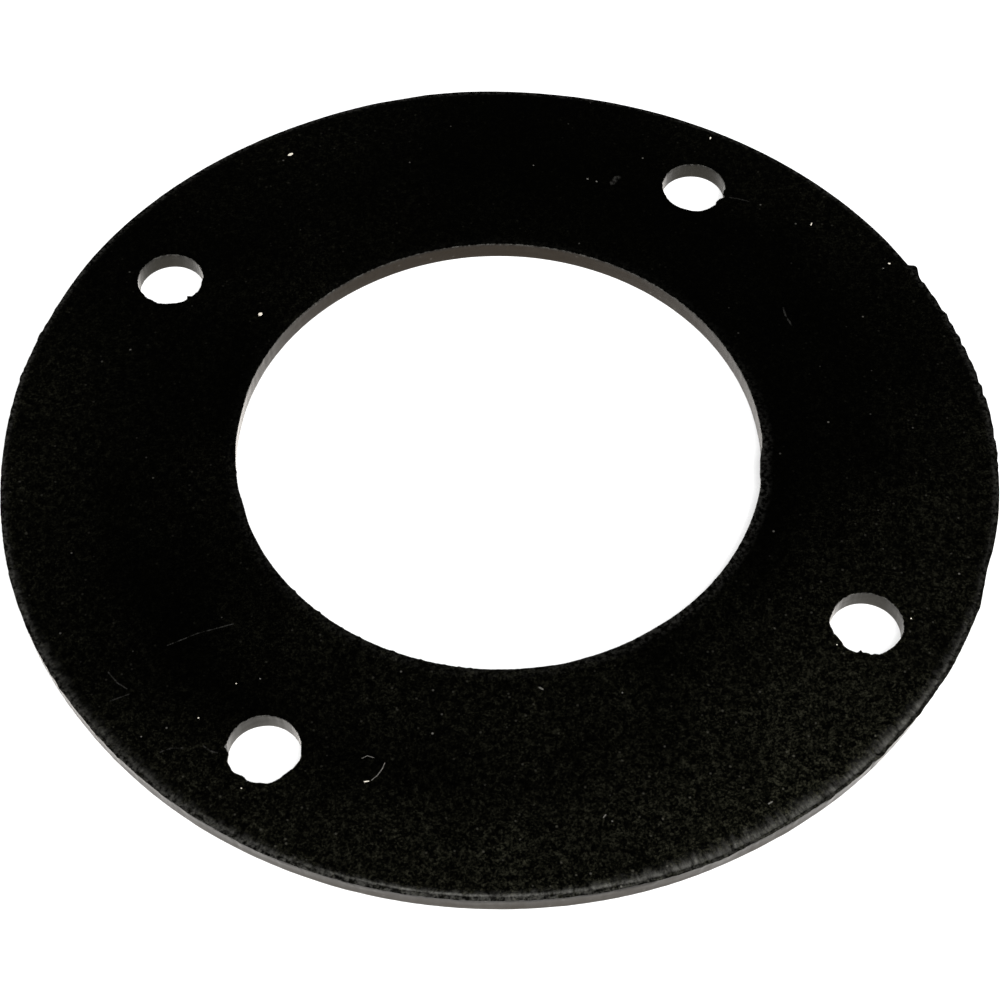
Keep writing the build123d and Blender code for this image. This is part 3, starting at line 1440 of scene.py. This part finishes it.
class ShaderEffect:
    """A shader group that several finishes place with their own values."""

    def __init__(self, name: str, inputs: tuple[GroupPort, ...], outputs: tuple[GroupPort, ...]) -> None:
        """Make the group with its sockets.

        Args:
            name: The group's name.
            inputs: Sockets that a finish fills.
            outputs: Sockets that it reads.
        """
        self.tree = bpy.data.node_groups.new(name, "ShaderNodeTree")
        self.graph = Graph(self.tree)
        for ports, direction in ((inputs, "INPUT"), (outputs, "OUTPUT")):
            for port in ports:
                socket = self.tree.interface.new_socket(port.name, in_out=direction, socket_type=port.kind)
                if port.default is not None:
                    socket.default_value = port.default
        self.given = self.graph.add("NodeGroupInput").outputs
        self.result = self.graph.add("NodeGroupOutput").inputs

    def place(self, graph: Graph, values: dict) -> bpy.types.Node:
        """Place the group in a material.

        Args:
            graph: The material's graph.
            values: The group's inputs by name.

        Returns:
            The group's node.
        """
        node = graph.add("ShaderNodeGroup")
        node.node_tree = self.tree
        for name, value in values.items():
            graph.put(node.inputs[name], value)
        return node


def rubber_grain() -> ShaderEffect:
    """Build the fine tooth of cured rubber, with rare paler specks of filler.

    Returns:
        The group, which puts out the grain, the specks and their height.
    """
    effect = ShaderEffect(
        "rubber_grain",
        (
            GroupPort("Vector", "NodeSocketVector"),
            GroupPort("Grains per mm", default=3.0),
            GroupPort("Speck Share", default=0.1),
        ),
        (GroupPort("Grain"), GroupPort("Specks"), GroupPort("Height")),
    )
    graph, given = effect.graph, effect.given
    clumps_per_grain, specks_per_grain = 0.3, 0.42
    fine_share, clump_share = 0.76, 0.24
    speck_edge, speck_middle = 0.34, 0.12
    per_mm = given["Grains per mm"]
    fine = graph.noise(given["Vector"], per_mm, 5.0, 0.85)
    clumps = graph.noise(given["Vector"], graph.math("MULTIPLY", per_mm, clumps_per_grain), 3.0, 0.6)
    fine_part = graph.math("MULTIPLY", fine, fine_share)
    grain = graph.math("ADD", fine_part, graph.math("MULTIPLY", clumps, clump_share))
    cells = graph.add(
        "ShaderNodeTexVoronoi",
        {"Vector": given["Vector"], "Scale": graph.math("MULTIPLY", per_mm, specks_per_grain)},
    )
    near = graph.ramp(cells.outputs["Distance"], speck_edge, speck_middle)
    lot = graph.add("ShaderNodeSeparateColor", {"Color": cells.outputs["Color"]}).outputs[0]
    chosen = graph.math("LESS_THAN", lot, given["Speck Share"])
    specks = graph.math("MULTIPLY", near, chosen)
    height = graph.math("ADD", graph.math("MULTIPLY", fine, 0.6), graph.math("MULTIPLY", clumps, 0.5))
    graph.put(effect.result["Grain"], graph.ramp(grain, 0.47, 0.77))
    graph.put(effect.result["Specks"], specks)
    graph.put(effect.result["Height"], graph.math("ADD", height, graph.math("MULTIPLY", specks, 0.8)))
    return effect


def edge_wear() -> ShaderEffect:
    """Build the broken paleness of a lip that is rubbed or torn.

    Returns:
        The group, which puts out a mask.
    """
    effect = ShaderEffect(
        "edge_wear",
        (
            GroupPort("Vector", "NodeSocketVector"),
            GroupPort("Wear", default=0.0),
            GroupPort("Amount", default=0.5),
        ),
        (GroupPort("Mask"),),
    )
    graph, given = effect.graph, effect.given
    patches = graph.ramp(graph.noise(given["Vector"], 1.6, 3.0, 0.65), 0.4, 0.66)
    worn = graph.math("MULTIPLY", given["Wear"], patches)
    graph.put(effect.result["Mask"], graph.math("MULTIPLY", worn, given["Amount"]))
    return effect


def settled_dust() -> ShaderEffect:
    """Build the thin dust that lies in loose grains and faint drifts.

    Returns:
        The group, which puts out a mask.
    """
    effect = ShaderEffect(
        "settled_dust",
        (
            GroupPort("Vector", "NodeSocketVector"),
            GroupPort("Amount", default=0.5),
        ),
        (GroupPort("Mask"),),
    )
    graph, given = effect.graph, effect.given
    drifts_per_mm, cells_per_mm = 0.09, 0.75
    grain_edge, grain_middle = 0.16, 0.07
    bare_share = 0.965
    drifts = graph.ramp(graph.noise(given["Vector"], drifts_per_mm, 4.0, 0.6), 0.35, 0.75)
    cells = graph.add("ShaderNodeTexVoronoi", {"Vector": given["Vector"], "Scale": cells_per_mm})
    near = graph.ramp(cells.outputs["Distance"], grain_edge, grain_middle)
    lot = graph.add("ShaderNodeSeparateColor", {"Color": cells.outputs["Color"]}).outputs[1]
    chosen = graph.ramp(lot, bare_share, 1.0)
    grains = graph.math("MULTIPLY", graph.math("MULTIPLY", near, chosen), graph.math("ADD", drifts, 0.35))
    graph.put(effect.result["Mask"], graph.math("MULTIPLY", grains, given["Amount"]))
    return effect


@dataclass(frozen=True)
class Effects:
    """The shared shader groups."""

    grain: ShaderEffect
    wear: ShaderEffect
    dust: ShaderEffect

    @classmethod
    def build(cls) -> "Effects":
        """Build each group once."""
        return cls(grain=rubber_grain(), wear=edge_wear(), dust=settled_dust())


def millimetre_places(graph: Graph) -> bpy.types.NodeSocket:
    """Read places on the piece in millimetres, for patterns of a real size.

    Args:
        graph: The material's graph.

    Returns:
        The socket with the places.
    """
    places = graph.add("ShaderNodeTexCoord").outputs["Object"]
    scaled = graph.add("ShaderNodeVectorMath", {"Vector": places}, operation="SCALE")
    scaled.inputs["Scale"].default_value = 1.0 / MM
    return scaled.outputs["Vector"]


def carried_value(graph: Graph, name: str) -> bpy.types.NodeSocket:
    """Value that the skin carries at each vertex."""
    return graph.add("ShaderNodeAttribute", attribute_name=name).outputs["Fac"]


def new_material(name: str) -> tuple[bpy.types.Material, Graph]:
    """Make an empty material.

    Args:
        name: The material's name.

    Returns:
        The material and the graph to fill it with.
    """
    material = bpy.data.materials.new(name)
    material.use_nodes = True
    return material, Graph(material.node_tree)


def finish_material(graph: Graph, shader: bpy.types.Node) -> None:
    """Join a surface shader to the material's output."""
    graph.add("ShaderNodeOutputMaterial", {"Surface": shader.outputs[0]})


def bumped(graph: Graph, height: object, distance: float, strength: float) -> bpy.types.NodeSocket:
    """Add bump.

    Args:
        graph: The material's graph.
        height: Socket with the height.
        distance: Depth of the bump in metres.
        strength: How much of it shows.

    Returns:
        The socket with the normal.
    """
    values = {"Height": height, "Distance": distance, "Strength": strength}
    return graph.add("ShaderNodeBump", values).outputs["Normal"]


@dataclass(frozen=True)
class SheetFaceFinish:
    """Moulded face of the sheet: nearly black, fine-grained and a little dusty, with a painted sheen of the
    front lamp in its paler grain and a painted highlight on the rim's slope.
    """

    name: str = "sheet_face"
    rubber: Colour = (0.0001, 0.0001, 0.00006)
    grain_tint: Colour = (0.036, 0.0355, 0.0235)
    speck_tint: Colour = (0.026, 0.025, 0.02)
    dust: Colour = (0.1, 0.096, 0.085)
    # Pale tint of worn lips and scratches, also of the painted highlight on the rim's slope.
    scuffed: Colour = (0.1, 0.098, 0.09)
    specular: float = 0.002
    roughness: tuple[float, float] = (0.38, 0.5)
    grains_per_mm: float = 3.2
    speck_share: float = 0.05
    dust_amount: float = 0.5
    wear_amount: float = 0.75
    bump_depth: float = 0.02 * MM
    bump_strength: float = 0.7

    def material(self, effects: Effects) -> bpy.types.Material:
        """Build the material.

        Args:
            effects: The shared shader groups.

        Returns:
            The material.
        """
        material, graph = new_material(self.name)
        places = millimetre_places(graph)
        bloom = carried_value(graph, "bloom")
        grain = effects.grain.place(
            graph,
            {"Vector": places, "Grains per mm": self.grains_per_mm, "Speck Share": self.speck_share},
        ).outputs
        # The grain and the specks show paler with the face's blooming and the painted sheen of the front
        # lamp.
        pale = graph.math("MULTIPLY", grain["Grain"], bloom)
        colour = graph.mix(pale, self.rubber, self.grain_tint)
        specks = graph.math("MULTIPLY", grain["Specks"], bloom)
        colour = graph.mix(specks, colour, self.speck_tint)
        dust = effects.dust.place(graph, {"Vector": places, "Amount": self.dust_amount}).outputs["Mask"]
        colour = graph.mix(dust, colour, self.dust)
        worn = effects.wear.place(
            graph,
            {"Vector": places, "Wear": carried_value(graph, "wear"), "Amount": self.wear_amount},
        ).outputs["Mask"]
        colour = graph.mix(worn, colour, self.scuffed)
        # Painted highlight of the rim's slope, and the scratches.
        colour = graph.mix(self.strokes_and_highlight(graph, grain["Grain"]), colour, self.scuffed)
        shader = graph.add(
            "ShaderNodeBsdfPrincipled",
            {
                "Base Color": colour,
                "Roughness": graph.ramp(grain["Grain"], 0.0, 1.0, *self.roughness),
                "Normal": bumped(graph, grain["Height"], self.bump_depth, self.bump_strength),
                "Specular IOR Level": self.specular,
            },
        )
        finish_material(graph, shader)
        return material

    def strokes_and_highlight(self, graph: Graph, grain: bpy.types.NodeSocket) -> bpy.types.NodeSocket:
        """Build the blotchy strokes of the painted highlight across the rim's slope, and of the scratches,
        fading where they are weaker.

        Args:
            graph: The material's graph.
            grain: Socket with the grain, which breaks the strokes up.

        Returns:
            The socket with how much the strokes show.
        """
        arc = graph.add("ShaderNodeUVMap", uv_map=ARC_MAP).outputs["UV"]
        stretched = graph.add("ShaderNodeVectorMath", {0: arc, 1: (1.7, 1.0, 1.0)}, operation="MULTIPLY")
        strokes = graph.noise(stretched.outputs["Vector"], 1.0, 5.0, 0.7)
        patches = graph.noise(arc, 0.6, 3.0, 0.6)
        # rubbed carries the painted highlight of the rim's slope and the scratches.
        rubbed = carried_value(graph, "scuff")
        threshold = graph.math("ADD", strokes, graph.math("MULTIPLY", rubbed, 0.22))
        threshold = graph.math("ADD", threshold, graph.math("MULTIPLY", patches, 0.6))
        shown = graph.ramp(threshold, 0.7, 1.32)
        softened = graph.math("ADD", graph.math("MULTIPLY", grain, 0.5), 0.65)
        return graph.math("MULTIPLY", graph.math("MULTIPLY", shown, softened), rubbed)


@dataclass(frozen=True)
class CutWallFinish:
    """Wall left by a blade or a punch: drawn into fine lines, with painted shade just under its lip that
    lightens towards the foot.
    """

    name: str
    dark: Colour
    light: Colour
    torn: Colour
    # Depth under the lip over which the painted shade lightens.
    painted_shade_depth: float
    specular: float = 0.14
    warm_gloss: Colour = (1.0, 0.84, 0.7)
    sheen: float = 0.45
    sheen_roughness: float = 0.3
    sheen_tint: Colour = (1.0, 0.93, 0.85)
    roughness: tuple[float, float] = (0.4, 0.28)
    lines_per_mm: float = 2.6
    rib_share: float = 0.7
    grains_per_mm: float = 2.6
    speck_share: float = 0.15
    speck_paleness: float = 0.35
    wear_amount: float = 0.35
    bump_depth: float = 0.02 * MM
    bump_strength: float = 0.8

    def material(self, effects: Effects) -> bpy.types.Material:
        """Build the material.

        Args:
            effects: The shared shader groups.

        Returns:
            The material.
        """
        material, graph = new_material(self.name)
        places = millimetre_places(graph)
        arc = graph.add("ShaderNodeUVMap", uv_map=ARC_MAP).outputs["UV"]
        depth = graph.add("ShaderNodeSeparateXYZ", {"Vector": arc}).outputs["Y"]
        along = graph.add("ShaderNodeVectorMath", {0: arc, 1: (0.3, 1.0, 1.0)}, operation="MULTIPLY")
        drag = graph.noise(along.outputs["Vector"], self.lines_per_mm, 4.0, 0.62)
        down = graph.add("ShaderNodeVectorMath", {0: arc, 1: (1.0, 0.25, 1.0)}, operation="MULTIPLY")
        ribs = graph.noise(down.outputs["Vector"], self.lines_per_mm * self.rib_share, 3.0, 0.6)
        grain = effects.grain.place(
            graph,
            {"Vector": places, "Grains per mm": self.grains_per_mm, "Speck Share": self.speck_share},
        ).outputs
        blend = graph.math("MULTIPLY", graph.math("ADD", drag, ribs), 0.5)
        blotches = graph.math("SUBTRACT", graph.ramp(blend, 0.34, 0.66), 0.5)
        # Painted shade: darkest just under the lip, lighter towards the foot over the shade depth.
        shade_and_tone = graph.ramp(depth, 0.0, self.painted_shade_depth)
        shade_and_tone = graph.math("ADD", shade_and_tone, graph.math("MULTIPLY", blotches, 0.5))
        shade_and_tone = graph.math("ADD", shade_and_tone, graph.math("MULTIPLY", grain["Grain"], 0.3))
        share = graph.ramp(shade_and_tone, -0.2, 1.3)
        colour = graph.mix(share, self.dark, self.light)
        specks = graph.math("MULTIPLY", grain["Specks"], self.speck_paleness)
        colour = graph.mix(specks, colour, self.torn)
        worn = effects.wear.place(
            graph,
            {"Vector": places, "Wear": carried_value(graph, "wear"), "Amount": self.wear_amount},
        ).outputs["Mask"]
        colour = graph.mix(worn, colour, self.torn)
        height = graph.math("ADD", blend, graph.math("MULTIPLY", grain["Height"], 0.4))
        shader = graph.add(
            "ShaderNodeBsdfPrincipled",
            {
                "Base Color": colour,
                "Roughness": graph.ramp(share, 0.0, 1.0, *self.roughness),
                "Normal": bumped(graph, height, self.bump_depth, self.bump_strength),
                "Specular IOR Level": self.specular,
                "Specular Tint": (*self.warm_gloss, 1.0),
                "Sheen Weight": self.sheen,
                "Sheen Roughness": self.sheen_roughness,
                "Sheen Tint": (*self.sheen_tint, 1.0),
            },
        )
        finish_material(graph, shader)
        return material


@dataclass(frozen=True)
class LintFinish:
    """Pale, dry dust and lint."""

    name: str = "pale_lint"
    dark: Colour = (0.36, 0.33, 0.28)
    light: Colour = (0.8, 0.74, 0.66)
    specular: float = 0.2
    roughness: tuple[float, float] = (0.8, 0.95)
    grains_per_mm: float = 7.0
    speck_share: float = 0.3
    bump_depth: float = 0.01 * MM
    bump_strength: float = 0.6

    def material(self, effects: Effects) -> bpy.types.Material:
        """Build the material.

        Args:
            effects: The shared shader groups.

        Returns:
            The material.
        """
        material, graph = new_material(self.name)
        places = millimetre_places(graph)
        grain = effects.grain.place(
            graph,
            {"Vector": places, "Grains per mm": self.grains_per_mm, "Speck Share": self.speck_share},
        ).outputs
        shader = graph.add(
            "ShaderNodeBsdfPrincipled",
            {
                "Base Color": graph.mix(grain["Grain"], self.dark, self.light),
                "Roughness": graph.ramp(grain["Grain"], 0.0, 1.0, *self.roughness),
                "Normal": bumped(graph, grain["Height"], self.bump_depth, self.bump_strength),
                "Specular IOR Level": self.specular,
            },
        )
        finish_material(graph, shader)
        return material


@dataclass(frozen=True)
class GasketFinishes:
    """All the finishes of the gasket, one for each kind of surface."""

    sheet: SheetFaceFinish = SheetFaceFinish()
    rim: CutWallFinish = CutWallFinish(
        "rim_cut",
        (0.003, 0.0026, 0.002),
        (0.024, 0.02, 0.015),
        (0.09, 0.086, 0.078),
        painted_shade_depth=1.0,
        specular=0.09,
        sheen=0.3,
        sheen_roughness=0.2,
    )
    # Its own near-black made darker than the rim's wall: painted shade inside the bore.
    bore: CutWallFinish = CutWallFinish(
        "bore_cut", (0.0015, 0.0011, 0.0006), (0.008, 0.0052, 0.0022), (0.07, 0.066, 0.058), painted_shade_depth=0.7
    )
    hole: CutWallFinish = CutWallFinish(
        "hole_cut",
        (0.0015, 0.0013, 0.0009),
        (0.012, 0.011, 0.008),
        (0.07, 0.066, 0.058),
        painted_shade_depth=0.7,
        specular=0.12,
        warm_gloss=(1.0, 0.92, 0.82),
        sheen=0.4,
    )
    lint: LintFinish = LintFinish()
    thin_lint: LintFinish = LintFinish("thin_lint", (0.04, 0.038, 0.034), (0.2, 0.19, 0.17))

    def dress(self, skin: bpy.types.Object, effects: Effects) -> None:
        """Put every finish on the skin, in the order of Finish.

        Args:
            skin: The gasket's skin.
            effects: The shared shader groups.
        """
        by_finish = {
            Finish.SHEET_FACE: self.sheet,
            Finish.RIM_CUT: self.rim,
            Finish.BORE_CUT: self.bore,
            Finish.HOLE_CUT: self.hole,
            Finish.LINT: self.lint,
            Finish.THIN_LINT: self.thin_lint,
        }
        for finish in Finish:
            skin.data.materials.append(by_finish[finish].material(effects))


# ---- Studio -----------------------------------------------------------------------


@dataclass(frozen=True)
class Floor:
    """Plain white floor that keeps the gasket's soft shadow."""

    half_width_m: float = 1.2
    colour: Colour = (0.86, 0.86, 0.86)
    plain_white: float = 0.55
    gap: float = 0.01

    def build(self) -> bpy.types.Object:
        """Build the floor just under the gasket.

        Returns:
            The floor.
        """
        half = self.half_width_m
        corners = [(-half, -half, 0.0), (half, -half, 0.0), (half, half, 0.0), (-half, half, 0.0)]
        mesh = bpy.data.meshes.new("studio_floor")
        mesh.from_pydata(corners, [], [(0, 1, 2, 3)])
        floor = bpy.data.objects.new("studio_floor", mesh)
        floor.location.z = -self.gap * MM
        bpy.context.scene.collection.objects.link(floor)
        mesh.materials.append(self.material())
        return floor

    def material(self) -> bpy.types.Material:
        """Build white paper, partly plain white to the eye and in reflections.

        Returns:
            The material.
        """
        material, graph = new_material("white_floor")
        paper = graph.add("ShaderNodeBsdfDiffuse", {"Color": (*self.colour, 1.0)})
        white = graph.add("ShaderNodeEmission", {"Color": (1.0, 1.0, 1.0, 1.0), "Strength": 1.0})
        seen = graph.math("MULTIPLY", seen_directly(graph), self.plain_white)
        mixed = graph.add("ShaderNodeMixShader", {0: seen, 1: paper.outputs[0], 2: white.outputs[0]})
        finish_material(graph, mixed)
        return material


def seen_directly(graph: Graph) -> bpy.types.NodeSocket:
    """Tell which rays are seen directly.

    Args:
        graph: The graph of a material or the world.

    Returns:
        The socket with 1 for rays from the camera, from a reflection or through glass.
    """
    path = graph.add("ShaderNodeLightPath").outputs
    seen = graph.math("MAXIMUM", path["Is Camera Ray"], path["Is Glossy Ray"])
    return graph.math("MAXIMUM", seen, path["Is Transmission Ray"])


@dataclass(frozen=True)
class SoftLamp:
    """Square soft box, placed round the gasket and turned to face it."""

    name: str
    azimuth: float
    elevation: float
    distance_m: float
    side_m: float
    power: float

    def build(self) -> bpy.types.Object:
        """Build the lamp.

        Returns:
            The lamp.
        """
        light = bpy.data.lights.new(self.name, "AREA")
        light.shape = "SQUARE"
        light.size = self.side_m
        light.energy = self.power
        lamp = bpy.data.objects.new(self.name, light)
        turn, lift = math.radians(self.azimuth), math.radians(self.elevation)
        outwards = Vector((math.cos(turn) * math.cos(lift), math.sin(turn) * math.cos(lift), math.sin(lift)))
        lamp.location = outwards * self.distance_m
        lamp.rotation_euler = outwards.to_track_quat("Z", "Y").to_euler()
        bpy.context.scene.collection.objects.link(lamp)
        return lamp


@dataclass(frozen=True)
class Studio:
    """Floor, lamps and the dim room round them."""

    floor: Floor = Floor()
    lamps: tuple[SoftLamp, ...] = (
        SoftLamp("front_box", 285.0, 56.0, 1.6, 1.1, 66.0),
        SoftLamp("left_box", 195.0, 48.0, 1.8, 1.0, 18.0),
    )
    room: Colour = (0.06, 0.06, 0.06)

    def build(self) -> None:
        """Build the floor, the lamps and the room."""
        self.floor.build()
        for lamp in self.lamps:
            lamp.build()
        world = bpy.data.worlds.new("studio_room")
        world.use_nodes = True
        graph = Graph(world.node_tree)
        dim = graph.add("ShaderNodeBackground", {"Color": (*self.room, 1.0), "Strength": 1.0})
        white = graph.add("ShaderNodeBackground", {"Color": (1.0, 1.0, 1.0, 1.0), "Strength": 1.0})
        mixed = graph.add(
            "ShaderNodeMixShader", {0: seen_directly(graph), 1: dim.outputs[0], 2: white.outputs[0]}
        )
        graph.add("ShaderNodeOutputWorld", {"Surface": mixed.outputs[0]})
        bpy.context.scene.world = world


@dataclass(frozen=True)
class Viewpoint:
    """Camera that looks down at the gasket from its front."""

    aim: Point = (-1.875, -8.552)
    azimuth: float = 256.25
    elevation: float = 54.92
    roll: float = 0.336
    distance: float = 317.73
    lens: float = 76.12
    sensor: float = 36.0
    nearest_m: float = 0.01

    def build(self) -> bpy.types.Object:
        """Build the camera and make it the scene's own.

        Returns:
            The camera.
        """
        turn, lift = math.radians(self.azimuth), math.radians(self.elevation)
        back = Vector((math.cos(turn) * math.cos(lift), math.sin(turn) * math.cos(lift), math.sin(lift)))
        level = Vector((-math.sin(turn), math.cos(turn), 0.0))
        upright = back.cross(level)
        roll = math.radians(self.roll)
        right = level * math.cos(roll) + upright * math.sin(roll)
        up = upright * math.cos(roll) - level * math.sin(roll)
        camera_data = bpy.data.cameras.new("front_view")
        camera_data.lens = self.lens
        camera_data.sensor_width = self.sensor
        camera_data.clip_start = self.nearest_m
        camera = bpy.data.objects.new("front_view", camera_data)
        place = Vector((*self.aim, 0.0)) * MM + back * self.distance * MM
        camera.matrix_world = Matrix.Translation(place) @ Matrix((right, up, back)).transposed().to_4x4()
        bpy.context.scene.collection.objects.link(camera)
        bpy.context.scene.camera = camera
        return camera


# ---- Putting it together ----------------------------------------------------------


def main() -> None:
    """Load the frame, build the gasket's skin and finishes, and set up the studio."""
    logging.basicConfig(level=logging.INFO, format="%(name)s: %(message)s")
    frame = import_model()
    bpy.context.scene.view_settings.view_transform = "Standard"

    low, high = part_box(CAD_NODE)
    sizes = GasketSizes.from_record(frame["record"], low, high)
    LOG.info("sizes: %s", sizes)
    skin = GasketSkin(sizes, Lie(sizes.thickness)).build()
    GasketFinishes().dress(skin, Effects.build())
    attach(skin, BODY)
    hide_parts(CAD_NODE)
    skin.data.calc_loop_triangles()
    LOG.info("built %s: %d triangles", skin.name, len(skin.data.loop_triangles))

    Studio().build()
    Viewpoint().build()
    LOG.info("built the studio and the camera")


if __name__ == "__main__":
    main()
